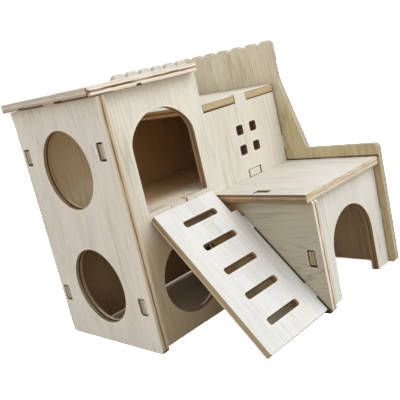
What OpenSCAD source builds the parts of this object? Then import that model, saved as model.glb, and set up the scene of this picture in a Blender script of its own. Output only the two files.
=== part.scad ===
// Small-pet house: eleven interlocking plywood boards.
// A two-storey tower with a lift-off roof stands at the left, a deck with a
// scalloped parapet at the right, a low den with a terrace in front of it, and a
// slotted ramp that climbs to the arched upper door.
// Working axes: X to the right along the front, Y to the back, Z up, with x = 0 on
// the outer face of the left board, y = 0 on the front face of the front board and
// z = 0 on the table. Every board is then moved so that the origin is at the centre
// of the footprint.

/* [Board stock] */
// Thickness of every board
ply = 5; // [4.6:0.1:5.2]
// Clearance on each side of a tenon in its slot
fit_gap = 0.3; // [0.15:0.05:0.4]
// Play of an upright tenon at each end of its slot
tenon_play = 0.9; // [0.3:0.1:1.2]
// Seam between two boards that butt together
seam = 0.1; // [0.05:0.05:0.2]
// Gap along the joints that show as dark lines
open_seam = 0.6; // [0.3:0.1:0.8]

/* [House body] */
// Width over the two side boards
house_w = 156; // [152:1:164]
// Width of the tower part of the front board, from the outer left face
tower_w = 78.6; // [76:0.2:80]
// Front-to-back length of the side boards
side_d = 92.5; // [90:0.5:98]
// How far the side boards stand in front of the front board
side_proud = 5.2; // [4.8:0.1:6]
// Distance from the front face of the front board to the front face of the back board
back_y = 78.2; // [76:0.2:79]
// Height of the tower walls
wall_h = 150; // [148:1:156]
// Height of the front wall under the deck
deck_wall_h = 123.8; // [122:0.2:126]
// Top of the middle floor and of the upper door sill
floor_top = 78.5; // [78.5:0.1:79.5]

/* [Tenons and tabs] */
// Length of the tenons that stand upright in the walls
tenon_h = 10; // [8:0.5:11]
// Height of the lower tenons above the table
low_tenon_z = 24; // [20:1:28]
// Height of the upper tenons above the table
high_tenon_z = 115.6; // [113:0.2:118]
// Width of the tabs under the roof and of the floor tenons
tab_w = 12.2; // [10:0.2:14]

/* [Round holes] */
// Radius of the two round side windows and of the round front hole
hole_r = 24; // [20:0.5:25]
// Height of the centre of the lower side window
low_hole_z = 37.7; // [34:0.1:40]
// Height of the centre of the upper side window
high_hole_z = 111; // [109:0.2:114]
// Height of the centre of the round front hole
front_hole_z = 33; // [30:0.2:36]
// Distance of the round front hole from the outer left face
front_hole_x = 40.8; // [38:0.1:43]

/* [Upper door and windows] */
// Half the width of the upper door
door_half = 24.5; // [20:0.5:25]
// Radius of the upper door's arch, a little more than half its width
door_arch_r = 26.5; // [25:0.5:30]
// Distance of the door's middle from the outer left face
door_x = 43.1; // [41:0.1:45]
// Height of the top of the upper door
door_top_z = 135.4; // [130:0.2:138]
// Side of the four small square windows
pane = 6.6; // [5:0.2:8]
// Spacing of the four small windows
pane_pitch = 13.5; // [11:0.5:15]
// Height of the middle of the window group
pane_z = 99.4; // [97:0.2:102]

/* [Roof] */
// Overhang of the roof past the left board
roof_left = 5; // [3:0.5:8]
// Overhang of the roof in front of the front board
roof_front = 5.8; // [5.4:0.2:7]
// Distance of the roof's right end from the outer left face
roof_right = 76.2; // [70:0.2:76.2]
// Gap between the roof and the walls that it rests over
roof_gap = 0.5; // [0.3:0.1:0.8]

/* [Parapet] */
// Height of the parapet at the bottom of a scallop
parapet_h = 154.2; // [152:0.2:160]
// Rise of a scallop
scallop_rise = 4.7; // [3.5:0.1:5]
// Left end of the back parapet
parapet_x = 76.5; // [76.5:0.1:78]
// Number of scallops along the back
scallops_back = 6; // [4:1:7]
// Number of scallops along the side, cut short at its two ends
scallops_side = 7; // [6:1:8]

/* [Den and terrace] */
// Distance of the den's left wall from the outer left face
den_x = 73.2; // [72:0.2:74]
// How far the den's left wall reaches in front of the house
den_d = 73.5; // [70:0.5:76]
// Set-back of the den's front wall behind the end of its left wall
den_inset = 5; // [4:0.5:7]
// Height of the den's walls
den_h = 68.4; // [66:0.2:68.4]
// Radius of the den's arched door
den_door_r = 22.4; // [18:0.2:24]
// Height where the den door's arch begins
den_spring_z = 30; // [26:0.5:34]
// Distance of the den door's middle from the outer left face
den_door_x = 114.6; // [112:0.2:116]
// Overhang of the terrace past the den's left wall
terrace_left = 3; // [2:0.2:4]
// Distance of the terrace's front edge from the front board
terrace_d = 72.4; // [71:0.2:74]
// Height of the side board beside the terrace
rail_h = 81.7; // [80:0.1:84]

/* [Ramp] */
// Length of the ramp along its slope
ramp_len = 100; // [99:0.5:102]
// Slope of the ramp in degrees
ramp_slope = 47.9; // [47.5:0.1:48.3]
// Left edge of the ramp
ramp_x0 = 18.2; // [16:0.2:20]
// Narrowing of the ramp beside the terrace
ramp_step = 5.2; // [4.8:0.1:7]
// Length of the narrow part
ramp_step_len = 19; // [17:0.5:21]
// Number of grip slots
ramp_slots = 5; // [3:1:5]
// Width of a grip slot
ramp_slot_w = 4.5; // [3:0.5:5]
// Distance between grip slots
ramp_slot_pitch = 18.1; // [17.5:0.1:18.3]

/* [Hidden] */
$fn = 96;

light_wood = [0.93, 0.90, 0.84];
shade_wood = [0.89, 0.85, 0.77];
roof_wood = [0.95, 0.92, 0.87];

// Inner face of the right board
right_x = house_w - ply;
// Middle of the right-hand half of the house
wing_x = (tower_w + right_x) / 2;
// Back edge of the side boards
side_back = side_d - side_proud;
// Middle of the side boards and of the round side windows
side_mid = side_back - side_d / 2;
// Middle of the tabs at the front and back of the tower
tab_x = 42.1;
roof_z = wall_h + roof_gap;
deck_z = deck_wall_h + open_seam + 0.1;
deck_top = deck_z + ply;
floor_z = floor_top - ply;
terrace_z = den_h + seam;
// Heights of the lower tenon of the den walls and of the upper tenon into the right board
den_tenon_z = 29;
rail_tenon_z = 82.5;
// Front face of the den's front wall
den_front = den_d - den_inset;
// Upper end of the ramp's top face
ramp_top_y = -(ply * sin(ramp_slope) + 0.14);
ramp_top_z = ramp_len * sin(ramp_slope) + ply * cos(ramp_slope);
ramp_x1 = den_x - open_seam - 0.5;
ramp_tenons = [[25, 34.6], [80, 90.2]];

x_mid = (house_w - roof_left) / 2;
y_mid = (side_back - den_d) / 2;

module placed() { translate([-x_mid, -y_mid, 0]) children(); }

// A board standing across the house, drawn as (x, z), with its front face at y
module across(y) {
    translate([0, y + ply, 0]) rotate([90, 0, 0]) linear_extrude(ply) children();
}

// A board standing front to back, drawn as (y, z), with its left face at x
module along(x) {
    translate([x, 0, 0]) rotate([90, 0, 90]) linear_extrude(ply) children();
}

// A board lying flat, drawn as (x, y), with its underside at z
module flat(z) { translate([0, 0, z]) linear_extrude(ply) children(); }

module box2(x0, x1, y0, y1) { translate([x0, y0]) square([x1 - x0, y1 - y0]); }

// Slot for a tenon that fills x0..x1 by y0..y1
module slot2(x0, x1, y0, y1) {
    box2(x0 - fit_gap, x1 + fit_gap, y0 - fit_gap, y1 + fit_gap);
}

// Slot with rounded corners for an upright tenon in a board that stands front to back
module slot_up(y, z) {
    translate([y + ply / 2, z + tenon_h / 2])
        soft_rect(ply + 2 * fit_gap, tenon_h + 2 * fit_gap, 1);
}

// Upright tenon over x0..x1 for the slot that starts at z
module tenon_up(x0, x1, z, play = tenon_play) {
    box2(x0, x1, z + play, z + tenon_h - play);
}

// Takes a square corner at (x, y) down to radius r; sx and sy point out of the board
module corner_off(x, y, sx, sy, r) {
    translate([x, y]) difference() {
        translate([sx > 0 ? -r : -1, sy > 0 ? -r : -1]) square(r + 1);
        translate([-sx * r, -sy * r]) circle(r);
    }
}

// Rectangle centred on the origin with rounded corners
module soft_rect(w, h, r) {
    square([w - 2 * r, h], center = true);
    square([w, h - 2 * r], center = true);
    for (i = [-1, 1], j = [-1, 1])
        translate([i * (w / 2 - r), j * (h / 2 - r)]) circle(r);
}

// Opening of half width w with an arched top of radius r and rounded feet, from z0 to z1
module arch2(x, w, r, z0, z1, foot_r) {
    // Circles that ease the crown's arc of r into the jambs
    r2 = 16;
    zc = z1 - r + sqrt(max(0, pow(r - r2, 2) - pow(w - r2, 2)));
    d = (w - r2) * r / (r - r2);
    intersection() {
        translate([x, z1 - r]) circle(r);
        box2(x - d, x + d, z1 - r, z1 + 1);
    }
    for (i = [-1, 1]) translate([x + i * (w - r2), zc]) circle(r2);
    box2(x - w, x + w, z0 + foot_r, zc);
    box2(x - w + foot_r, x + w - foot_r, z0, z1 - r);
    for (i = [-1, 1]) translate([x + i * (w - foot_r), z0 + foot_r]) circle(foot_r);
}

// Tab that stands up from a board's edge, with its two top corners rounded
module tab2(x, w, z0, z1, r) {
    difference() {
        box2(x - w / 2, x + w / 2, z0 - 1, z1);
        corner_off(x - w / 2, z1, -1, 1, r);
        corner_off(x + w / 2, z1, 1, 1, r);
    }
}

// One scallop of the parapet, over the stretch u0..u1
module scallop(u0, u1) {
    half = (u1 - u0) / 2;
    r = (half * half + scallop_rise * scallop_rise) / (2 * scallop_rise);
    intersection() {
        translate([(u0 + u1) / 2, parapet_h + scallop_rise - r]) circle(r);
        box2(u0, u1, parapet_h - 0.5, parapet_h + scallop_rise + 1);
    }
}

// Left side board with two round windows
module left_panel() {
    color(light_wood) placed() along(0) difference() {
        union() {
            box2(-side_proud, side_back, 0, wall_h);
            tab2(side_mid, tab_w, wall_h, roof_z + ply - 0.1, 0.8);
        }
        corner_off(-side_proud, 0, -1, -1, 2);
        corner_off(side_back, 0, 1, -1, 3);
        for (z = [low_hole_z, high_hole_z]) translate([side_mid, z]) circle(hole_r);
        // The slots leave play on their inner side
        for (y = [0, 0.6, back_y, back_y + 0.6], z = [low_tenon_z, high_tenon_z]) slot_up(y, z);
    }
}

// L-shaped front board: tower front with arched door and round hole, and wing front
module front_panel() {
    color(light_wood) placed() across(0) difference() {
        union() {
            box2(ply + seam, tower_w, 0, wall_h);
            box2(ply + seam, right_x - open_seam - 0.4, 0, deck_wall_h);
            tab2(tab_x, tab_w - 0.5, wall_h, roof_z + ply - 0.1, 0.8);
            tab2(wing_x, 11, deck_wall_h, deck_top + 0.3, 1.5);
            for (z = [low_tenon_z, high_tenon_z]) tenon_up(0, ply + 1, z);
            for (z = [low_tenon_z, rail_tenon_z]) tenon_up(right_x - 1, house_w, z, tenon_play / 3);
        }
        arch2(door_x, door_half, door_arch_r, floor_top, door_top_z, 1.6);
        slot2(tab_x - tab_w / 2, tab_x + tab_w / 2 + tenon_play, floor_z, floor_top + 1);
        translate([front_hole_x, front_hole_z]) circle(hole_r - 0.3);
        for (i = [-1, 1], j = [-1, 1])
            translate([wing_x + i * pane_pitch / 2, pane_z + j * pane_pitch / 2])
                soft_rect(pane, pane, 1.4);
        slot2(wing_x - tab_w / 2 - 0.3, wing_x + tab_w / 2 + 0.3, floor_z, floor_top);
        slot2(den_x, den_x + ply, den_tenon_z, den_tenon_z + tenon_h);
    }
}

// Back board: low behind the tower, with a scalloped parapet behind the deck
module back_panel() {
    pitch = (right_x - seam - parapet_x) / scallops_back;
    color(light_wood) placed() across(back_y) difference() {
        union() {
            box2(ply + seam, right_x - seam, 0, wall_h);
            box2(parapet_x, right_x - seam, wall_h - 1, parapet_h - 0.3);
            for (i = [0 : scallops_back - 1])
                scallop(parapet_x + i * pitch, parapet_x + (i + 1) * pitch);
            tab2(tab_x, tab_w - 0.5, wall_h, roof_z + ply - 0.1, 0.8);
            for (z = [low_tenon_z, high_tenon_z]) {
                tenon_up(0, ply + 1, z);
                tenon_up(right_x - 1, house_w, z);
            }
        }
        slot2(tab_x - tab_w / 2, tab_x + tab_w / 2, floor_z, floor_top);
        slot2(wing_x - tab_w / 2, wing_x + tab_w / 2, floor_z, floor_top);
        slot2(wing_x - tab_w / 2, wing_x + tab_w / 2, deck_z, deck_top);
    }
}

// Right side board: scalloped parapet, steep front, low rail beside the terrace
module right_panel() {
    front_y = -3.6;
    end_r = 2.4;
    u0 = -6;
    pitch = (side_back + 3.1 - u0) / scallops_side;
    // Circle of the first scallop
    r = (pitch * pitch / 4 + scallop_rise * scallop_rise) / (2 * scallop_rise);
    cy = u0 + pitch / 2;
    cz = parapet_h + scallop_rise - r;
    // Circle of the rounded front corner, which stands a hair proud of the scallop
    ey = front_y + end_r;
    ez = cz + sqrt(pow(r - end_r, 2) - pow(cy - ey, 2)) + 0.2;
    color(shade_wood) placed() along(right_x) difference() {
        union() {
            polygon([[side_back, 0], [side_back, parapet_h - 0.3],
                [ey, parapet_h - 0.3], [ey, ez],
                [front_y, ez], [front_y - 0.9, 132], [-18.6, rail_h], [-den_d, rail_h],
                [-den_d, 0]]);
            translate([ey, ez]) circle(end_r);
            intersection() {
                for (i = [0 : scallops_side - 1])
                    scallop(u0 + i * pitch, u0 + (i + 1) * pitch);
                box2(ey - 0.6, side_back, parapet_h - 1, parapet_h + scallop_rise + 1);
            }
        }
        corner_off(-den_d, rail_h, -1, 1, 3);
        corner_off(-den_d, 0, -1, -1, 3);
        corner_off(side_back, 0, 1, -1, 3);
        for (z = [low_tenon_z, rail_tenon_z]) slot_up(0, z);
        for (z = [low_tenon_z, high_tenon_z]) slot_up(back_y, z);
        slot_up(-den_front, den_tenon_z);
        slot2(side_mid - tab_w / 2, side_mid + tab_w / 2, deck_z, deck_top);
        slot2(-terrace_d / 2 - tab_w / 2, -terrace_d / 2 + tab_w / 2,
            terrace_z, terrace_z + ply);
    }
}

// Lift-off roof of the tower, located by the three wall tabs
module tower_roof() {
    g = fit_gap + 0.1;
    color(roof_wood) placed() flat(roof_z) difference() {
        box2(-roof_left, roof_right, -roof_front, side_back);
        box2(-g, ply + g, side_mid - tab_w / 2 - g, side_mid + tab_w / 2 + g);
        for (y = [0, back_y])
            box2(tab_x - tab_w / 2 + 0.25 - g, tab_x + tab_w / 2 - 0.25 + g,
                y - g, y + ply + g);
        for (y = [-roof_front, side_back]) {
            corner_off(-roof_left, y, -1, y < 0 ? -1 : 1, 0.8);
            corner_off(roof_right, y, 1, y < 0 ? -1 : 1, 0.8);
        }
    }
}

// Deck over the right half, notched round the front board's tab
module upper_deck() {
    color(roof_wood) placed() flat(deck_z) difference() {
        union() {
            box2(tower_w + 0.5, right_x - open_seam, 0, back_y - seam);
            box2(wing_x - tab_w / 2, wing_x + tab_w / 2, back_y - 1, back_y + ply);
            box2(right_x - 1, house_w, side_mid - tab_w / 2, side_mid + tab_w / 2);
        }
        box2(wing_x - 6 - fit_gap, wing_x + 5.5 + fit_gap, -1, ply + fit_gap);
    }
}

// Middle floor over the whole width, with a tongue into the front board under the upper door
module middle_floor() {
    color(roof_wood) placed() flat(floor_z) {
        box2(ply + seam, right_x - seam, ply + seam, back_y - seam);
        box2(tab_x - tab_w / 2, tab_x + tab_w / 2, 0, ply + 1);
        box2(wing_x - tab_w / 2 - 0.3 + tenon_play, wing_x + tab_w / 2 + 0.3 - tenon_play,
            0, ply + 1);
        for (x = [tab_x, wing_x])
            box2(x - tab_w / 2, x + tab_w / 2, back_y - 1, back_y + ply);
    }
}

// Terrace: the roof of the den
module terrace_board() {
    color(roof_wood) placed() flat(terrace_z) difference() {
        union() {
            box2(den_x - terrace_left, right_x - open_seam, -terrace_d, -seam);
            box2(right_x - 1, house_w, -terrace_d / 2 - tab_w / 2,
                -terrace_d / 2 + tab_w / 2);
        }
        box2(den_x - 0.2, den_x + ply + 0.9, -41.4, -30.6);
        corner_off(den_x - terrace_left, -terrace_d, -1, -1, 0.8);
    }
}

// Left wall of the den, with two sloping slots for the ramp
module den_left_wall() {
    color(shade_wood) placed() along(den_x) difference() {
        union() {
            box2(-den_d, -seam, 0, den_h);
            tab2(-36, 10, den_h, terrace_z + ply - 0.6, 0.6);
            tenon_up(-1, ply, den_tenon_z);
        }
        corner_off(-den_d, 0, -1, -1, 3);
        corner_off(-den_d, den_h, -1, 1, 1.5);
        slot_up(-den_front, den_tenon_z);
        translate([ramp_top_y, ramp_top_z]) rotate(ramp_slope)
            for (s = ramp_tenons) slot2(-s[1], -s[0], -ply, 0);
    }
}

// Front wall of the den with its arched door, open at the floor
module den_front_wall() {
    color(light_wood) placed() across(-den_front) difference() {
        union() {
            box2(den_x + ply + seam, right_x - open_seam, 0, den_h);
            tenon_up(den_x, den_x + ply + 1, den_tenon_z);
            tenon_up(right_x - 1, house_w, den_tenon_z);
        }
        translate([den_door_x, den_spring_z]) circle(den_door_r);
        box2(den_door_x - den_door_r, den_door_x + den_door_r, -1, den_spring_z);
    }
}

// Ramp with grip slots, drawn flat as (x, -distance down the slope)
module ramp() {
    mid = (ramp_x0 + ramp_x1) / 2 - 0.15;
    color(roof_wood) placed() translate([0, ramp_top_y, ramp_top_z])
        rotate([ramp_slope, 0, 0]) translate([0, 0, -ply]) linear_extrude(ply)
            difference() {
                union() {
                    box2(ramp_x0, ramp_x1, -ramp_len, -ramp_step_len);
                    box2(ramp_x0, ramp_x1 - ramp_step, -ramp_step_len - 1, 0);
                    for (s = ramp_tenons) box2(ramp_x1 - 1, den_x + ply, -s[1], -s[0]);
                }
                for (i = [0 : ramp_slots - 1])
                    translate([mid, -13.2 - i * ramp_slot_pitch])
                        soft_rect(27, ramp_slot_w, 1.7);
                corner_off(ramp_x0, -ramp_len, -1, -1, 1);
                corner_off(ramp_x1, -ramp_len, 1, -1, 1);
            }
}

left_panel();
front_panel();
back_panel();
right_panel();
tower_roof();
upper_deck();
middle_floor();
terrace_board();
den_left_wall();
den_front_wall();
ramp();
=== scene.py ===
import math

import bpy
from mathutils import Matrix, Vector

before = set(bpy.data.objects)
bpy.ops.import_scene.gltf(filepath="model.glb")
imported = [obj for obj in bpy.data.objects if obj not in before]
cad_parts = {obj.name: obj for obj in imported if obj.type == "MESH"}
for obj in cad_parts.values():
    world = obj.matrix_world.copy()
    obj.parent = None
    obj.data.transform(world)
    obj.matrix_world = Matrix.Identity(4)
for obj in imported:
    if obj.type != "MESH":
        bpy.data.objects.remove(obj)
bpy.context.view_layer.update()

# House coordinates in millimetres, as in the CAD source: x from the outer left face,
# y from the front face of the front board, z from the table.
X_MID, Y_MID = 75.5, 6.9
PLY = 5.0
SIN = math.sin(math.radians(47.9))
COS = math.cos(math.radians(47.9))


def here(x, y, z):
    """House millimetres to the frame's metres."""
    return Vector(((x - X_MID) * 0.001, (y - Y_MID) * 0.001, z * 0.001))


def lin(r, g, b):
    """8-bit display colour to linear."""
    out = []
    for c in (r, g, b):
        c /= 255.0
        out.append(c / 12.92 if c <= 0.04045 else ((c + 0.055) / 1.055) ** 2.4)
    return tuple(out)


# ---------------------------------------------------------------- node trees

class Tree:
    """Short forms for building a node material."""

    def __init__(self, name):
        self.mat = bpy.data.materials.new(name)
        self.mat.use_nodes = True
        self.nt = self.mat.node_tree
        self.nt.nodes.clear()
        self.out = self.nt.nodes.new("ShaderNodeOutputMaterial")

    def put(self, value, socket):
        if isinstance(value, bpy.types.NodeSocket):
            self.nt.links.new(value, socket)
        elif isinstance(value, (tuple, list, Vector)):
            v = list(value)
            if socket.type == "RGBA" and len(v) == 3:
                v.append(1.0)
            socket.default_value = v
        else:
            socket.default_value = value

    def math(self, op, a, b=0.0, c=None, clamp=False):
        n = self.nt.nodes.new("ShaderNodeMath")
        n.operation = op
        n.use_clamp = clamp
        self.put(a, n.inputs[0])
        self.put(b, n.inputs[1])
        if c is not None:
            self.put(c, n.inputs[2])
        return n.outputs[0]

    def add(self, a, b):
        return self.math("ADD", a, b)

    def sub(self, a, b):
        return self.math("SUBTRACT", a, b)

    def mul(self, a, b):
        return self.math("MULTIPLY", a, b)

    def vmath(self, op, a, b=None, scale=None):
        n = self.nt.nodes.new("ShaderNodeVectorMath")
        n.operation = op
        self.put(a, n.inputs[0])
        if b is not None:
            self.put(b, n.inputs[1])
        if scale is not None:
            self.put(scale, n.inputs["Scale"])
        return n.outputs["Value"] if op in ("DOT_PRODUCT", "LENGTH", "DISTANCE") else n.outputs[0]

    def xyz(self, x, y, z):
        n = self.nt.nodes.new("ShaderNodeCombineXYZ")
        for i, v in enumerate((x, y, z)):
            self.put(v, n.inputs[i])
        return n.outputs[0]

    def noise(self, vec, scale=1.0, detail=2.0, rough=0.5):
        n = self.nt.nodes.new("ShaderNodeTexNoise")
        n.noise_dimensions = "3D"
        self.put(vec, n.inputs["Vector"])
        n.inputs["Scale"].default_value = scale
        n.inputs["Detail"].default_value = detail
        n.inputs["Roughness"].default_value = rough
        return n.outputs[0]

    def step(self, x, e0, e1, lo=0.0, hi=1.0):
        """Smooth step of x from lo at e0 to hi at e1."""
        n = self.nt.nodes.new("ShaderNodeMapRange")
        n.interpolation_type = "SMOOTHSTEP"
        self.put(x, n.inputs["Value"])
        for k, v in zip(("From Min", "From Max", "To Min", "To Max"), (e0, e1, lo, hi)):
            self.put(v, n.inputs[k])
        return n.outputs[0]

    def mix(self, f, a, b, blend="MIX"):
        n = self.nt.nodes.new("ShaderNodeMix")
        n.data_type = "RGBA"
        n.blend_type = blend
        n.clamp_factor = True
        n.clamp_result = False
        self.put(f, n.inputs[0])
        self.put(a, n.inputs[6])
        self.put(b, n.inputs[7])
        return n.outputs[2]

    def blend(self, f, a, b):
        """Number between a and b."""
        return self.math("MULTIPLY_ADD", f, self.sub(b, a), a)

    def times(self, colour, k):
        """Colour times a number socket."""
        return self.vmath("SCALE", colour, scale=k)

    def box(self, a, b, a0, a1, b0, b1):
        """Signed distance to a rectangle, about, in the units of a and b."""
        da = self.sub(self.math("ABSOLUTE", self.sub(a, (a0 + a1) / 2)), (a1 - a0) / 2)
        db = self.sub(self.math("ABSOLUTE", self.sub(b, (b0 + b1) / 2)), (b1 - b0) / 2)
        return self.math("MAXIMUM", da, db)

    def disc(self, a, b, ca, cb, r):
        da, db = self.sub(a, ca), self.sub(b, cb)
        d2 = self.add(self.mul(da, da), self.mul(db, db))
        return self.sub(self.math("SQRT", d2), r)

    def cap(self, a, b, c, z, r, half):
        """The middle stretch of a circle, half to each side of c."""
        return self.math("MAXIMUM", self.disc(a, b, c, z, r),
                         self.sub(self.math("ABSOLUTE", self.sub(a, c)), half))

    def split(self, vec):
        n = self.nt.nodes.new("ShaderNodeSeparateXYZ")
        self.put(vec, n.inputs[0])
        return n.outputs[0], n.outputs[1], n.outputs[2]

    def all(self, *masks):
        out = masks[0]
        for m in masks[1:]:
            out = self.mul(out, m)
        return out

    def span(self, x, a, b, soft=0.4):
        """One between a and b, with soft ends."""
        return self.mul(self.step(x, a - soft, a + soft), self.step(x, b + soft, b - soft))

    def dye(self, mask, colour, factor):
        """Multiply the colour by a factor where the mask is."""
        return self.mix(mask, colour, self.mix(1.0, colour, factor, "MULTIPLY"))

    def arch(self, a, b, c, half, r, spring, foot):
        """An arched doorway: jambs half from the middle c, an arc of r above spring."""
        da = self.math("ABSOLUTE", self.sub(a, c))
        db = self.math("MAXIMUM", self.sub(b, spring), 0.0)
        d = self.sub(self.math("SQRT", self.add(self.mul(da, da), self.mul(db, db))), r)
        d = self.math("MAXIMUM", d, self.sub(da, half))
        return self.math("MAXIMUM", d, self.sub(foot, b))

    def least(self, values):
        out = values[0]
        for v in values[1:]:
            out = self.math("MINIMUM", out, v)
        return out


# ---------------------------------------------------------------- plywood

WASH = (0.725, 0.705, 0.630)        # bleached face: light and dark grain
WASH_DARK = (0.560, 0.525, 0.448)
RAW = (0.620, 0.500, 0.315)         # bare inner face
RAW_DARK = (0.470, 0.355, 0.200)
RAW_PAINTED_SHADE = (0.560, 0.395, 0.205)        # bare face, darker than RAW: bare wood with painted shade, for inner faces and undersides
RAW_PAINTED_SHADE_DARK = (0.430, 0.285, 0.140)
HALO = (0.860, 0.820, 0.735)        # rubbed rim of a cut-out
CREAM = (0.925, 0.840, 0.710)       # cut edge of light ply
PALE = (0.640, 0.560, 0.460)
TAN = (0.560, 0.430, 0.270)
UMBER = (0.350, 0.240, 0.135)       # wall of a cut-out
CORE = (0.115, 0.066, 0.036)        # dark middle ply
BURN = (0.085, 0.045, 0.022)


class Place:
    """Where a shade function is on its board."""


def plywood(name, normal, along, origin, face_lo, face_hi, seed, holes=(), outline=None,
            edge=(CREAM, PALE, UMBER), core=(0.9, 0.35, 0.8), grain=1.0, ring_gap=1.0,
            straight=1.0, arris=0.5, hole_in="hi", halo=0.5, shade=None):
    """A 5 mm board: grained faces, banded cut edges, pale rims.

    normal is the thickness direction from the board's low face, along the grain's direction,
    origin a point of the low face, in house millimetres. face_lo and face_hi are the
    (light, dark) colours of the two faces. holes are shapes in the plane of the board, drawn
    in (across, along): a Tree method's name and its numbers. edge gives the colour of the cut
    edges that face front or up, left or right, and into a cut-out, core how strongly the dark
    middle ply shows on each. hole_in is the board's inner face, whose ply is lighter in a cut-out.
    halo is the strength of the pale rims. shade changes the colour last."""
    t = Tree(name)
    n = Vector(normal).normalized()
    u_dir = Vector(along).normalized()
    v_dir = n.cross(u_dir).normalized()
    if max(v_dir, key=abs) < 0:
        v_dir = -v_dir
    coord = t.nt.nodes.new("ShaderNodeTexCoord")
    mm = t.vmath("SCALE", coord.outputs["Object"], scale=1000.0)
    p = t.vmath("ADD", mm, (X_MID, Y_MID, 0.0))
    u = t.vmath("DOT_PRODUCT", p, u_dir)
    v = t.vmath("DOT_PRODUCT", p, v_dir)
    w = t.sub(t.vmath("DOT_PRODUCT", p, n), Vector(origin).dot(n))
    geo = t.nt.nodes.new("ShaderNodeNewGeometry")
    facing = t.vmath("DOT_PRODUCT", geo.outputs["Normal"], n)
    flat = t.math("ABSOLUTE", facing)
    is_edge = t.step(flat, 0.75, 0.35)
    is_arris = t.mul(t.step(flat, 0.12, 0.5), t.step(flat, 0.995, 0.85))
    is_hi = t.step(facing, -0.1, 0.1)

    # Grain: stretched noise, and its contour lines as growth rings
    warp = t.mul(t.sub(t.noise(t.xyz(t.mul(v, 0.03), t.mul(u, 0.012), seed), 1.0, 1.0), 0.5), 9.0 / straight)
    vw = t.add(v, warp)
    field = t.noise(t.xyz(t.mul(vw, 0.055), t.mul(u, 0.0035 / straight), seed + 3.7), 1.0, 1.5, 0.45)
    ring = t.math("FRACT", t.mul(field, 26.0 / ring_gap))
    lines = t.step(t.math("ABSOLUTE", t.sub(t.mul(ring, 2.0), 1.0)), 0.5, 1.0)
    lines_there = t.step(t.noise(t.xyz(t.mul(v, 0.07), t.mul(u, 0.02), seed + 9.1), 1.0, 2.0), 0.38, 0.62)
    lines = t.mul(lines, lines_there)
    fibre = t.noise(t.xyz(t.mul(vw, 1.5), t.mul(u, 0.045), seed + 5.2), 1.0, 3.0, 0.6)
    fine = t.noise(t.xyz(t.mul(v, 5.0), t.mul(u, 0.16), seed + 7.9), 1.0, 2.0, 0.6)
    broad = t.noise(t.xyz(t.mul(v, 0.05), t.mul(u, 0.010), seed + 1.3), 1.0, 2.0)
    dark = t.add(t.mul(lines, 0.60 * grain), t.mul(t.step(fibre, 0.42, 0.68), 0.52 * grain))
    dark = t.add(dark, t.mul(t.step(fine, 0.5, 0.8), 0.25 * grain))
    dark = t.sub(t.add(dark, t.mul(t.step(broad, 0.38, 0.68), 0.34)), 0.18)
    lo_face = t.mix(dark, face_lo[0], face_lo[1])
    hi_face = t.mix(dark, face_hi[0], face_hi[1])
    face = t.mix(is_hi, lo_face, hi_face)
    warm = t.noise(t.xyz(t.mul(v, 0.04), t.mul(u, 0.03), seed + 14.0), 1.0, 1.0)
    face = t.mix(t.step(warm, 0.35, 0.7, 0.0, 0.35), face, t.mix(1.0, face, (1.0, 0.955, 0.88), "MULTIPLY"))
    cool = t.noise(t.xyz(t.mul(vw, 0.30), t.mul(u, 0.018), seed + 17.0), 1.0, 2.0)
    face = t.mix(t.step(cool, 0.50, 0.68, 0.0, 0.8), face, t.mix(1.0, face, (0.985, 1.01, 1.06), "MULTIPLY"))

    # Distance to the cut-outs and the outline, for the rims
    shapes = []
    for h in holes:
        shapes.append(getattr(t, h[0])(v, u, *h[1:]))
    hole = t.least(shapes) if shapes else None
    if hole is not None:
        rim = t.step(hole, 1.7, 0.1)
        face = t.mix(t.mul(rim, halo), face, HALO)
        scorch = t.step(hole, 0.35, 0.0)
        face = t.mix(t.mul(scorch, 0.15), face, BURN)
    if outline is not None:
        inside = t.math("MULTIPLY", t.box(v, u, *outline), -1.0)
        rim = t.step(inside, 2.2, 0.1)
        face = t.mix(t.mul(rim, 0.25), face, CREAM)

    # Cut edges: veneers, outer plies, dark core, scorch
    side = t.math("ABSOLUTE", t.vmath("DOT_PRODUCT", geo.outputs["Normal"], (1.0, 0.0, 0.0)))
    side = t.step(side, 0.3, 0.8)
    cut = t.step(hole, 0.9, 0.4) if hole is not None else 0.0
    run = t.add(u, v)
    edge_col = t.mix(cut, t.mix(side, edge[0], edge[1]), edge[2])
    strand = t.noise(t.xyz(t.mul(run, 0.06), t.mul(w, 2.2), seed + 22.0), 1.0, 3.0, 0.6)
    tone = t.noise(t.xyz(t.mul(run, 0.09), t.mul(w, 0.5), seed + 20.0), 1.0, 2.0)
    edge_col = t.times(edge_col, t.step(strand, 0.35, 0.7, 1.06, 0.80))
    edge_col = t.mix(t.step(tone, 0.45, 0.75, 0.0, 0.35), edge_col, t.mix(1.0, edge_col, (0.85, 0.72, 0.55), "MULTIPLY"))
    inner = t.step(w, 2.7, 3.3) if hole_in == "hi" else t.step(w, 2.3, 1.7)
    edge_col = t.times(edge_col, t.blend(t.mul(cut, inner), 1.0, 1.35))
    near = t.math("MINIMUM", w, t.sub(PLY, w))
    edge_col = t.times(edge_col, t.step(near, 1.3, 0.7, 1.0, 0.86))
    wave = t.mul(t.sub(t.noise(t.xyz(t.mul(run, 0.11), 0.0, seed + 25.0), 1.0, 2.0), 0.5), 0.7)
    off = t.math("ABSOLUTE", t.sub(t.add(w, wave), 2.5))
    strong = t.blend(cut, t.blend(side, core[0], core[1]), core[2])
    strong = t.mul(strong, t.step(t.noise(t.xyz(t.mul(run, 0.05), 7.0, seed + 27.0), 1.0, 2.0), 0.3, 0.6, 0.55, 1.0))
    edge_col = t.mix(t.mul(t.step(off, 0.85, 0.3), strong), edge_col, CORE)

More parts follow.
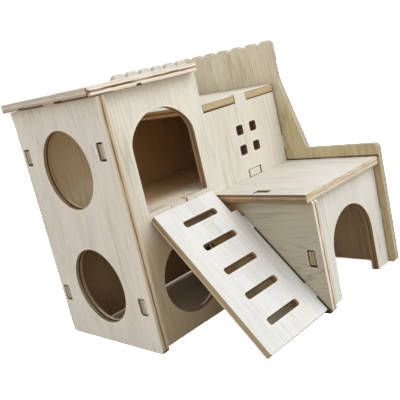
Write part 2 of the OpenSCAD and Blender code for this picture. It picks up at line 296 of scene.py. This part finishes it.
    colour = t.mix(is_edge, face, edge_col)
    singed = t.step(t.noise(t.xyz(t.mul(run, 0.07), t.mul(w, 0.1), seed + 30.0), 1.0, 2.0), 0.58, 0.66)
    rub = t.mix(singed, (0.80, 0.73, 0.60), (0.30, 0.20, 0.11))
    colour = t.mix(t.mul(is_arris, arris), colour, rub)
    if shade is not None:
        q = Place()
        q.x, q.y, q.z = t.split(p)
        q.nx, q.ny, q.nz = t.split(geo.outputs["Normal"])
        q.w, q.facing, q.is_edge, q.run, q.cut = w, facing, is_edge, run, cut
        colour = shade(t, q, colour)

    height = t.add(t.mul(fibre, 0.6), t.mul(lines, -0.5))
    height = t.add(height, t.mul(fine, 0.35))
    height = t.add(t.mul(height, t.sub(1.0, is_edge)), t.mul(t.mul(strand, 1.4), is_edge))
    bump = t.nt.nodes.new("ShaderNodeBump")
    bump.inputs["Strength"].default_value = 0.35
    bump.inputs["Distance"].default_value = 0.00012
    t.put(height, bump.inputs["Height"])
    b = t.nt.nodes.new("ShaderNodeBsdfPrincipled")
    b.inputs["Specular IOR Level"].default_value = 0.28
    t.put(colour, b.inputs["Base Color"])
    t.put(t.add(t.blend(is_edge, 0.56, 0.82), t.mul(t.sub(fibre, 0.5), 0.14)), b.inputs["Roughness"])
    t.put(bump.outputs[0], b.inputs["Normal"])
    t.put(b.outputs[0], t.out.inputs["Surface"])
    return t.mat


X, Y, Z = (1.0, 0.0, 0.0), (0.0, 1.0, 0.0), (0.0, 0.0, 1.0)
WASHED = (WASH, WASH_DARK)
BARE = (RAW, RAW_DARK)
# Bare wood with painted shade, for inner faces and undersides
BARE_PAINTED_SHADE = (RAW_PAINTED_SHADE, RAW_PAINTED_SHADE_DARK)
SLOPE = (0.0, COS, SIN)
RAMP_N = (0.0, -SIN, COS)
RAMP_TOP = (0.0, -(PLY * SIN + 0.14), 100 * SIN + PLY * COS)
RAMP_U = RAMP_TOP[1] * COS + RAMP_TOP[2] * SIN
RAMP_LOW = (0.0, RAMP_TOP[1] - PLY * RAMP_N[1], RAMP_TOP[2] - PLY * RAMP_N[2])
RAMP_MID = 45.0




def front_shade(t, q, c):
    """Painted light on the pale sill under the upper door and towards the top of the tower's front; painted shade
    under the ramp, on the tenon's end at its slot and as dark reveals in the four small windows; lighter and darker
    plies in the round hole's wall.
    """
    # Painted light: the up-facing sill is pale, with a dark joint line at its back
    sill = t.all(t.step(q.nz, 0.6, 0.9), t.span(q.z, 77.0, 79.2))
    c = t.mix(sill, c, t.mix(t.step(q.w, 4.1, 4.6), (0.700, 0.640, 0.540), (0.400, 0.280, 0.160)))
    face = t.step(q.facing, -0.3, -0.7)
    # Painted light towards the top of the tower's front, against the roof's shadow
    c = t.dye(t.all(face, t.step(q.z, 110.0, 128.0), t.step(q.x, 80.0, 74.0)), c, (1.07, 1.08, 1.09))
    # Painted shadow of the ramp on the front board, less deep towards its right end
    low = t.all(face, t.step(q.z, 80.0, 52.0), t.step(q.x, 4.5, 11.0), t.step(q.x, 80.0, 74.0))
    c = t.dye(low, c, (0.79, 0.68, 0.51))
    c = t.dye(t.all(low, t.step(q.x, 60.0, 66.0)), c, (1.50, 1.45, 1.30))
    # Painted shade on the tenon's end, on the side of the slot's gap
    end = t.all(t.step(q.nx, -0.5, -0.9), t.step(q.x, 2.0, 1.0))
    c = t.dye(t.mul(end, t.step(q.y, 3.6, 4.1)), c, (0.30, 0.24, 0.17))
    c = t.mix(t.mul(end, t.step(q.y, 1.5, 1.1)), c, (0.600, 0.545, 0.440))
    wall = t.all(q.is_edge, q.cut, t.step(q.z, 60.0, 58.0), t.step(q.x, 80.0, 74.0), t.step(q.nx, -0.10, -0.35))
    c = t.dye(t.mul(wall, t.step(q.w, 2.9, 3.3)), c, (1.90, 2.40, 2.90))
    c = t.dye(t.mul(wall, t.span(q.w, 0.8, 2.8, 0.3)), c, (0.55, 0.46, 0.30))
    # Painted shade: dark reveals in the four small windows
    pane = t.all(q.is_edge, t.span(q.x, 103.0, 126.0), t.span(q.z, 87.0, 112.0))
    return t.mix(t.mul(pane, 0.85), c, (0.165, 0.100, 0.057))


def left_shade(t, q, c):
    """Pale outer plies on the front edge, partly the veneer and partly painted highlight that grows higher up; darker
    at the foot of the front edge; lighter outer plies and darker core in the lower window's wall, darker core in the
    upper one; pale inner ply on the window sills, painted light.
    """
    front = t.mul(t.step(q.ny, -0.5, -0.9), t.step(q.cut, 0.5, 0.2))
    pale = t.math("MAXIMUM", t.step(q.w, 0.95, 0.65), t.step(q.w, 4.25, 4.55))
    # Paler outer plies: the veneer's colour with painted highlight, stronger higher up
    c = t.mix(t.all(front, pale, t.step(q.z, 20.0, 60.0, 0.5, 0.9)), c, (0.680, 0.600, 0.470))
    # Darker at the foot of the front edge
    c = t.dye(t.all(front, t.step(q.z, 3.2, 1.2)), c, (0.30, 0.24, 0.18))
    wall = t.mul(q.is_edge, q.cut)
    low = t.mul(wall, t.step(q.z, 74.0, 70.0))
    core = t.span(q.w, 2.0, 2.9, 0.3)
    c = t.dye(t.mul(low, t.step(q.w, 2.2, 1.8)), c, (1.15, 1.35, 1.70))
    c = t.dye(t.mul(low, t.step(q.w, 2.7, 3.1)), c, (1.10, 1.15, 1.25))
    c = t.dye(t.mul(low, core), c, (0.80, 0.66, 0.42))
    c = t.dye(t.all(wall, core, t.step(q.z, 74.0, 78.0)), c, (0.60, 0.50, 0.35))
    sill = t.mul(wall, t.step(q.nz, 0.70, 0.92))
    c = t.dye(t.mul(sill, t.step(q.w, 3.1, 2.7)), c, (0.66, 0.64, 0.56))
    # Painted light: the inner ply on the up-facing window sills is pale
    pale = t.mix(t.step(q.z, 74.0, 78.0), (0.820, 0.740, 0.580), (0.600, 0.520, 0.370))
    return t.mix(t.mul(sill, t.step(q.w, 3.3, 3.7)), c, pale)


def back_shade(t, q, c):
    """The back board's inner face has painted light towards the tower's windows and just above the floor, painted
    shade further right, and above the deck a pale colour as painted light; the scallops' flanks take a grey painted
    shade.
    """
    inner = t.mul(t.step(q.facing, -0.3, -0.7), t.sub(1.0, q.is_edge))
    # Painted light towards the tower's windows, more just above the floor
    c = t.dye(t.all(inner, t.step(q.x, 62.0, 45.0), t.step(q.z, 77.0, 80.0)), c, (1.35, 1.58, 1.90))
    c = t.dye(t.all(inner, t.step(q.x, 62.0, 45.0), t.span(q.z, 80.0, 94.0, 6.0)), c, (1.10, 1.20, 1.35))
    # Painted shade further right, away from the windows
    c = t.dye(t.all(inner, t.step(q.x, 50.0, 66.0), t.step(q.z, 77.0, 80.0)), c, (0.92, 0.76, 0.60))
    # Above the deck the inner face turns pale: painted light
    c = t.mix(t.all(inner, t.step(q.z, 131.0, 134.0)), c, (0.670, 0.650, 0.590))
    # Painted shade: the scallops' flanks are grey, their tops keep the edge colour
    lobe = t.all(q.is_edge, t.step(q.z, 131.0, 134.0), t.step(q.nz, 0.92, 0.70))
    return t.mix(lobe, c, (0.440, 0.415, 0.360))


def right_shade(t, q, c):
    """The right board's inner face is slightly darkened, with painted light towards the top, lower down inside the
    den and above the terrace, and a dark line of painted shade in the gap along the terrace.
    """
    inner = t.mul(t.step(q.facing, -0.3, -0.7), t.sub(1.0, q.is_edge))
    # Slightly darkened, then painted light towards the top
    c = t.dye(inner, c, (0.86, 0.87, 0.84))
    c = t.dye(t.all(inner, t.step(q.z, 96.0, 146.0)), c, (1.42, 1.62, 2.10))
    # Painted light lower down, inside the den
    c = t.dye(t.all(inner, t.step(q.z, 68.0, 60.0), t.step(q.y, -66.0, -62.0)), c, (1.45, 1.36, 1.50))
    # Painted light above the terrace
    c = t.dye(t.all(inner, t.step(q.y, -2.0, -6.0), t.step(q.z, 70.0, 74.0)), c, (1.13, 1.18, 1.18))
    # Painted shade: a dark line in the gap along the terrace's top
    return t.dye(t.all(inner, t.step(q.y, 2.0, -1.0), t.span(q.z, 72.8, 74.4, 0.3)), c, (0.25, 0.18, 0.12))


def roof_shade(t, q, c):
    """Painted shade along the lower arris, where the gap under the roof shows, darkest at the tab ends; singed marks
    at the front left corner.
    """
    left = t.step(q.nx, -0.5, -0.9)
    # Painted shade: a dark line along the lower arris where the gap under the roof shows, darker at the tab ends
    line = t.math("MAXIMUM", t.step(q.y, 22.0, 19.0), t.span(q.y, 39.0, 60.0))
    blot = t.math("MAXIMUM", t.span(q.y, 19.6, 27.3, 0.8), t.span(q.y, 60.0, 67.5, 0.8))
    c = t.dye(t.all(left, line, t.step(q.w, 0.95, 0.55)), c, (0.20, 0.14, 0.10))
    c = t.dye(t.all(left, blot, t.step(q.w, 1.25, 0.80)), c, (0.09, 0.06, 0.04))
    bright = t.span(q.w, 2.2, 2.8, 0.25)
    grit = t.noise(t.xyz(3.0, t.mul(q.y, 0.06), t.mul(q.w, 1.9)), 1.0, 3.0, 0.6)
    c = t.mix(t.mul(left, bright), c, t.times((0.840, 0.740, 0.610), t.step(grit, 0.3, 0.7, 1.0, 0.75)))
    c = t.dye(t.mul(left, t.step(q.w, 2.3, 1.7)), c, (0.80, 0.74, 0.67))
    front = t.step(q.ny, -0.5, -0.9)
    # Painted shade: dark line under the front edge's left part
    c = t.dye(t.all(front, t.step(q.x, 13.0, 9.0), t.step(q.w, 0.65, 0.35)), c, (0.40, 0.30, 0.22))
    c = t.dye(t.all(front, t.step(q.x, -2.6, -4.2), t.span(q.w, 0.8, 3.9)), c, (0.50, 0.34, 0.20))
    # Painted shade at the front tab's end under the roof
    c = t.dye(t.all(front, t.span(q.x, 27.8, 31.3, 0.7), t.step(q.w, 1.2, 0.8)), c, (0.09, 0.06, 0.04))
    c = t.dye(t.all(left, t.step(q.y, -4.3, -5.2)), c, (0.30, 0.24, 0.18))
    return c


def deck_shade(t, q, c):
    """The deck's left edge, over the tower, is toasted; a dark line of painted shade runs along the front edge's
    lower arris.
    """
    left = t.all(t.step(q.nx, -0.5, -0.9), t.step(q.x, 84.0, 82.0))
    gold = t.mix(t.span(q.w, 2.0, 3.1, 0.3), (0.860, 0.620, 0.360), (0.420, 0.215, 0.070))
    c = t.mix(left, c, gold)
    # Painted shade: dark line along the front edge's lower arris
    line = t.all(t.step(q.ny, -0.5, -0.9), t.step(q.x, 110.0, 109.0), t.step(q.w, 0.6, 0.35))
    return t.dye(line, c, (0.15, 0.11, 0.08))


def floor_shade(t, q, c):
    """The middle floor's top has painted light near the door and painted shade behind it."""
    top = t.mul(t.step(q.facing, 0.3, 0.7), t.sub(1.0, q.is_edge))
    # Painted light on the floor's top
    c = t.dye(top, c, (1.16, 1.10, 0.98))
    # Painted shade deeper behind the door
    c = t.dye(t.all(top, t.step(q.y, 11.0, 34.0)), c, (0.64, 0.48, 0.33))
    end = t.step(q.ny, -0.5, -0.9)
    c = t.mix(t.all(end, t.step(q.x, 90.0, 100.0)), c, (0.690, 0.640, 0.545))
    c = t.mix(t.all(end, t.step(q.x, 100.0, 90.0)), c, (0.700, 0.650, 0.545))
    joint = t.all(top, t.step(q.y, 5.75, 5.35), t.step(t.math("ABSOLUTE", t.sub(q.x, 42.1)), 6.0, 6.3))
    return t.dye(joint, c, (0.50, 0.38, 0.26))


def den_shade(t, q, c):
    """Painted shade along the ramp, where the gap beside it shows, and in shade by the tower and under the terrace;
    painted light below the ramp, painted shade inside the slot, a cooler inner ply on the front edge, and a pale tab
    top with painted shade on its far side.
    """
    outer = t.mul(t.step(q.facing, -0.3, -0.7), t.sub(1.0, q.is_edge))
    above = t.sub(t.mul(t.sub(q.z, RAMP_TOP[2]), COS), t.mul(t.sub(q.y, RAMP_TOP[1]), SIN))
    free = t.mul(outer, t.step(above, 0.2, 0.8))
    # Painted shade by the tower and under the terrace
    c = t.dye(t.mul(free, t.step(q.y, -30.0, -8.0)), c, (0.66, 0.56, 0.42))
    c = t.dye(t.mul(free, t.step(q.z, 65.5, 68.4)), c, (0.72, 0.67, 0.58))
    # Painted shade in the gap along the ramp's edge
    behind = t.mul(outer, t.span(above, -6.5, 0.5))
    c = t.dye(t.mul(behind, t.step(q.y, -21.0, -18.0)), c, (0.86, 0.60, 0.35))
    c = t.dye(t.mul(behind, t.step(q.y, -18.0, -21.0)), c, (0.24, 0.17, 0.11))
    # Painted light on the wall below the ramp
    below = t.mul(outer, t.step(above, -6.0, -7.0))
    c = t.dye(below, c, (1.16, 1.02, 0.80))
    c = t.dye(t.all(t.step(q.ny, -0.5, -0.9), t.step(q.w, 2.9, 3.3)), c, (0.84, 0.86, 0.90))
    # Painted shade inside the slot
    c = t.dye(t.mul(q.is_edge, q.cut), c, (0.50, 0.42, 0.30))
    # Pale tab top with painted shade on its far side, at the slot's gap
    tab = t.all(t.step(q.nz, 0.6, 0.9), t.step(q.z, 71.0, 72.0))
    return t.mix(tab, c, t.mix(t.step(q.w, 2.4, 3.4), (0.640, 0.600, 0.510), (0.200, 0.150, 0.100)))


def den_front_shade(t, q, c):
    """Painted shade as a dark outline on the tenon's end in the side wall."""
    end = t.all(t.step(q.nx, -0.5, -0.9), t.step(q.x, 75.0, 74.0), t.span(q.z, 26.0, 42.0))
    ring = t.math("MAXIMUM", t.step(q.y, -64.6, -64.1), t.step(q.y, -67.5, -68.0))
    return t.dye(t.mul(end, ring), c, (0.40, 0.33, 0.25))


def terrace_shade(t, q, c):
    """Dark upper ply on the left edge, toasted patches along the front."""
    left = t.step(q.nx, -0.5, -0.9)
    ply = t.mix(t.step(q.w, 2.0, 2.6), (0.255, 0.190, 0.118), (0.440, 0.345, 0.215))
    ply = t.mix(t.step(q.w, 3.2, 3.7), ply, (0.185, 0.122, 0.062))
    grit = t.noise(t.xyz(t.mul(q.y, 0.12), t.mul(q.w, 1.6), 88.0), 1.0, 3.0, 0.6)
    c = t.mix(left, c, t.times(ply, t.step(grit, 0.3, 0.7, 0.8, 1.2)))
    c = t.dye(t.mul(left, t.step(q.y, -38.0, -14.0)), c, (1.42, 1.22, 1.05))
    front = t.step(q.ny, -0.5, -0.9)
    patch = t.step(t.noise(t.xyz(t.mul(q.x, 0.10), t.mul(q.w, 0.4), 93.0), 1.0, 2.0), 0.46, 0.60)
    patch = t.math("MAXIMUM", t.mul(patch, 0.7), t.step(q.x, 76.0, 71.5))
    return t.mix(t.all(front, patch, t.step(q.w, 2.5, 3.2), t.step(q.y, -50.0, -60.0)), c, (0.600, 0.400, 0.165))


def ramp_shade(t, q, c):
    """Painted shade on the down-facing cut at the ramp's foot; on the left edge a lighter lowest ply, and darker
    middle plies near the top.
    """
    # Painted shade on the down-facing cut at the foot
    foot = t.all(q.is_edge, t.step(q.z, 6.5, 5.5), t.step(q.ny, -0.4, -0.6), t.step(q.cut, 0.5, 0.2))
    c = t.dye(foot, c, (0.30, 0.29, 0.28))
    left = t.mul(t.step(q.nx, -0.5, -0.9), t.step(q.cut, 0.5, 0.2))
    c = t.dye(t.mul(left, t.step(q.w, 1.6, 1.2)), c, (1.38, 1.42, 1.50))
    return t.dye(t.all(left, t.span(q.w, 1.5, 3.3, 0.4), t.step(q.z, 50.0, 62.0)), c, (0.74, 0.69, 0.62))


materials = {
    "left_panel": plywood(
        "left_board", X, Z, (0, 0, 0), ((0.835, 0.805, 0.745), (0.640, 0.605, 0.545)), BARE_PAINTED_SHADE, 1.0,
        holes=[("disc", 41.05, 37.7, 24.0), ("disc", 41.05, 111.0, 24.0),
               ("box", -0.3, 5.3, 23.7, 34.3), ("box", -0.3, 5.3, 115.3, 125.9),
               ("box", 77.9, 83.5, 23.7, 34.3), ("box", 77.9, 83.5, 115.3, 125.9)],
        outline=(-5.2, 87.3, 0.0, 150.0), grain=1.1, ring_gap=1.2,
        edge=((0.575, 0.470, 0.330), PALE, UMBER), core=(0.85, 0.35, 0.95), shade=left_shade),
    "front_panel": plywood(
        "front_board", Y, Z, (0, 0, 0), WASHED, BARE_PAINTED_SHADE, 11.0,
        holes=[("disc", 40.8, 33.0, 23.7), ("box", 18.6, 67.6, 78.5, 115.1),
               ("disc", 34.6, 115.06, 16.0), ("disc", 51.6, 115.06, 16.0),
               ("cap", 43.1, 108.9, 26.5, 21.4),
               ("box", 104.7, 111.3, 102.85, 109.45),
               ("box", 118.2, 124.8, 102.85, 109.45), ("box", 104.7, 111.3, 89.35, 95.95),
               ("box", 118.2, 124.8, 89.35, 95.95), ("box", 108.4, 121.2, 73.2, 78.8)],
        straight=2.0, edge=(CREAM, (0.530, 0.440, 0.300), UMBER), shade=front_shade),
    "back_panel": plywood("back_board", Y, Z, (0, 78.2, 0), BARE_PAINTED_SHADE, WASHED, 21.0,
                          edge=(CREAM, (0.530, 0.440, 0.300), UMBER), shade=back_shade),
    "right_panel": plywood(
        "right_board", X, Z, (151, 0, 0), BARE, WASHED, 31.0, straight=1.5, grain=1.3,
        edge=((0.530, 0.495, 0.390), PALE, UMBER), core=(0.35, 0.3, 0.6), shade=right_shade),
    "tower_roof": plywood("roof_board", Z, Y, (0, 0, 150.5), BARE_PAINTED_SHADE, WASHED, 41.0,
                          edge=(CREAM, (0.690, 0.620, 0.540), UMBER), core=(1.0, 0.0, 0.8),
                          shade=roof_shade),
    "upper_deck": plywood("deck_board", Z, X, (0, 0, 124.5), BARE_PAINTED_SHADE, WASHED, 51.0,
                          edge=((0.540, 0.430, 0.245), PALE, UMBER), core=(0.0, 0.3, 0.5),
                          shade=deck_shade),
    "middle_floor": plywood("floor_board", Z, X, (0, 0, 73.5), BARE_PAINTED_SHADE, WASHED, 61.0,
                            core=(0.1, 0.1, 0.5), shade=floor_shade),
    "terrace_board": plywood("terrace_board", Z, Y, (0, 0, 68.5), BARE_PAINTED_SHADE,
                             ((0.680, 0.650, 0.590), (0.520, 0.485, 0.425)), 71.0, grain=1.2,
                             holes=[("box", 73.0, 79.1, -41.4, -30.6)], halo=0.15,
                             edge=((0.740, 0.665, 0.540), TAN, (0.130, 0.080, 0.045)), core=(0.35, 0.0, 0.8),
                             shade=terrace_shade),
    # Its outer face is darker than the other bleached faces: painted shade
    "den_left_wall": plywood(
        "den_side_board", X, Y, (73.2, 0, 0), ((0.500, 0.458, 0.355), (0.320, 0.280, 0.200)), BARE_PAINTED_SHADE,
        81.0, holes=[("box", 28.7, 39.3, -68.8, -63.2)], core=(0.9, 0.3, 0.8), halo=0.15,
        shade=den_shade),
    "den_front_wall": plywood(
        "den_front_board", Y, Z, (0, -68.5, 0),
        ((0.775, 0.780, 0.745), (0.600, 0.590, 0.545)), BARE_PAINTED_SHADE, 91.0,
        edge=(CREAM, (0.420, 0.335, 0.210), UMBER),
        holes=[("arch", 114.6, 22.4, 22.4, 30.0, -5.0)], straight=2.0, shade=den_front_shade),
    "ramp": plywood(
        "ramp_board", RAMP_N, SLOPE, RAMP_LOW, BARE_PAINTED_SHADE, ((0.725, 0.730, 0.715), (0.575, 0.570, 0.540)), 101.0,
        holes=[("box", RAMP_MID - 13.5, RAMP_MID + 13.5,
                RAMP_U - 13.2 - i * 18.1 - 2.25, RAMP_U - 13.2 - i * 18.1 + 2.25) for i in range(5)],
        halo=0.35, straight=2.0, edge=(CREAM, (0.520, 0.420, 0.275), UMBER), core=(0.5, 0.25, 0.7), shade=ramp_shade),
}



def loose_flaps():
    """Node group that deletes faces with a free edge. Where two scallops touch, the weld
    closes the hair's breadth between them to one loose flap."""
    g = bpy.data.node_groups.new("loose_flaps", "GeometryNodeTree")
    g.interface.new_socket("Geometry", in_out="INPUT", socket_type="NodeSocketGeometry")
    g.interface.new_socket("Geometry", in_out="OUTPUT", socket_type="NodeSocketGeometry")
    start = g.nodes.new("NodeGroupInput")
    end = g.nodes.new("NodeGroupOutput")
    count = g.nodes.new("GeometryNodeInputMeshEdgeNeighbors")
    free = g.nodes.new("ShaderNodeMath")
    free.operation = "LESS_THAN"
    free.inputs[1].default_value = 1.5
    on_edge = g.nodes.new("GeometryNodeFieldOnDomain")
    on_edge.domain = "EDGE"
    on_edge.data_type = "FLOAT"
    some = g.nodes.new("ShaderNodeMath")
    some.operation = "GREATER_THAN"
    some.inputs[1].default_value = 0.1
    cut = g.nodes.new("GeometryNodeDeleteGeometry")
    cut.domain = "FACE"
    g.links.new(count.outputs[0], free.inputs[0])
    g.links.new(free.outputs[0], on_edge.inputs[0])
    g.links.new(on_edge.outputs[0], some.inputs[0])
    g.links.new(some.outputs[0], cut.inputs["Selection"])
    g.links.new(start.outputs[0], cut.inputs["Geometry"])
    g.links.new(cut.outputs[0], end.inputs[0])
    return g


for name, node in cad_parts.items():
    node.data.materials.clear()
    node.data.materials.append(materials[name])
    weld = node.modifiers.new("weld", "WELD")
    weld.merge_threshold = 0.000005
    flat = node.modifiers.new("planes", "DECIMATE")
    flat.decimate_type = "DISSOLVE"
    flat.angle_limit = math.radians(0.5)
    if name == "right_panel":
        node.modifiers.new("flaps", "NODES").node_group = loose_flaps()
    bevel = node.modifiers.new("arris", "BEVEL")
    bevel.width = 0.00028
    bevel.segments = 2
    bevel.limit_method = "ANGLE"
    bevel.angle_limit = math.radians(35)
    bevel.harden_normals = True

# ---------------------------------------------------------------- floor, light, camera

bpy.ops.mesh.primitive_plane_add(size=8.0, location=(0, 0, -0.00002))
floor = bpy.context.object
floor.name = "floor"
t = Tree("pale_floor")
lp = t.nt.nodes.new("ShaderNodeLightPath")
d = t.nt.nodes.new("ShaderNodeBsdfDiffuse")
tc = t.nt.nodes.new("ShaderNodeTexCoord")
q = t.vmath("ADD", t.vmath("SCALE", tc.outputs["Object"], scale=1000.0), (X_MID, Y_MID, 0.0))
fx, fy, fz = t.split(q)
# Shade on the floor inside the house and under the ramp's lower end
within = t.all(t.span(fx, 3.0, 151.0, 2.0), t.span(fy, 2.5, 80.0, 1.0))
seen = t.mix(within, (9.0, 10.0, 12.0), (0.56, 0.47, 0.33))
seen = t.mix(t.all(within, t.step(fx, 50.0, 40.0)), seen, (0.95, 0.83, 0.64))
under = t.all(t.span(fx, 48.0, 76.0, 3.0), t.span(fy, -58.0, -33.0, 3.0))
seen = t.mix(under, seen, (0.95, 0.95, 0.86))
t.put(t.mix(lp.outputs["Is Camera Ray"], (0.46, 0.40, 0.31), seen), d.inputs["Color"])
# Light that comes in along the foot of the back board
right_part = t.all(within, t.step(fx, 50.0, 60.0))
line = t.step(fy, 76.0, 77.4)
glow = t.mix(t.mul(right_part, t.step(fy, 50.0, 72.0)), (0.0, 0.0, 0.0), (0.014, 0.010, 0.006))
glow = t.mix(t.mul(right_part, t.step(fy, 70.5, 77.0)), glow, (0.130, 0.115, 0.098))
glow = t.mix(t.mul(right_part, line), glow, (0.430, 0.390, 0.345))
glow = t.mix(t.all(within, t.step(fx, 50.0, 40.0), t.step(fy, 75.7, 76.9)), glow, (0.210, 0.170, 0.135))
e = t.nt.nodes.new("ShaderNodeEmission")
t.put(t.mix(lp.outputs["Is Camera Ray"], (0.0, 0.0, 0.0), glow), e.inputs["Color"])
both = t.nt.nodes.new("ShaderNodeAddShader")
t.put(d.outputs[0], both.inputs[0])
t.put(e.outputs[0], both.inputs[1])
t.put(both.outputs[0], t.out.inputs["Surface"])
floor.data.materials.append(t.mat)

world = bpy.data.worlds.new("studio")
bpy.context.scene.world = world
world.use_nodes = True
wt = world.node_tree
wt.nodes.clear()
w_out = wt.nodes.new("ShaderNodeOutputWorld")
path = wt.nodes.new("ShaderNodeLightPath")
fill = wt.nodes.new("ShaderNodeBackground")
fill.inputs["Color"].default_value = (1.0, 1.0, 1.0, 1)
fill.inputs["Strength"].default_value = 0.95
seen = wt.nodes.new("ShaderNodeBackground")
seen.inputs["Color"].default_value = (1.0, 1.0, 1.0, 1)
seen.inputs["Strength"].default_value = 1.05
wm = wt.nodes.new("ShaderNodeMixShader")
wt.links.new(path.outputs["Is Camera Ray"], wm.inputs[0])
wt.links.new(fill.outputs[0], wm.inputs[1])
wt.links.new(seen.outputs[0], wm.inputs[2])
wt.links.new(wm.outputs[0], w_out.inputs["Surface"])


def softbox(name, direction, distance, size, irradiance, colour=(1, 1, 1)):
    """Square area light that gives about that irradiance, over pi, at the house."""
    data = bpy.data.lights.new(name, "AREA")
    data.shape = "SQUARE"
    data.size = size
    # radiance L over solid angle: E = L * A / d2 and E/pi is wanted; power = L * A * pi
    data.energy = irradiance * math.pi * distance * distance * math.pi
    data.color = colour
    o = bpy.data.objects.new(name, data)
    bpy.context.scene.collection.objects.link(o)
    way = Vector(direction).normalized()
    o.location = Vector((0, 0, 0.07)) + way * distance
    o.rotation_mode = "QUATERNION"
    o.rotation_quaternion = way.to_track_quat("Z", "Y")
    return o


softbox("key", (0.30, -0.60, 0.70), 1.2, 0.8, 0.45)

cam_data = bpy.data.cameras.new("camera")
camera = bpy.data.objects.new("camera", cam_data)
bpy.context.scene.collection.objects.link(camera)
yaw, pitch, roll = (math.radians(a) for a in (44.97, 12.51, -12.67))
forward = Vector((math.sin(yaw) * math.cos(pitch), math.cos(yaw) * math.cos(pitch), -math.sin(pitch)))
right = Vector((math.cos(yaw), -math.sin(yaw), 0.0))
up = right.cross(forward)
cam_x = right * math.cos(roll) + up * math.sin(roll)
cam_y = up * math.cos(roll) - right * math.sin(roll)
place = Matrix((cam_x, cam_y, -forward)).transposed().to_4x4()
place.translation = Vector((-0.26228, -0.27731, 0.15750))
camera.matrix_world = place
cam_data.sensor_fit = "HORIZONTAL"
cam_data.sensor_width = 36.0
cam_data.lens = 606.57 / 400.0 * 36.0
cam_data.shift_x = (200.0 - 226.15) / 400.0
cam_data.shift_y = (189.74 - 200.0) / 400.0
cam_data.clip_start = 0.01
cam_data.clip_end = 50.0
bpy.context.scene.camera = camera

view = bpy.context.scene.view_settings
view.view_transform = "Standard"
view.look = "None"
view.exposure = 0.0
view.gamma = 1.0
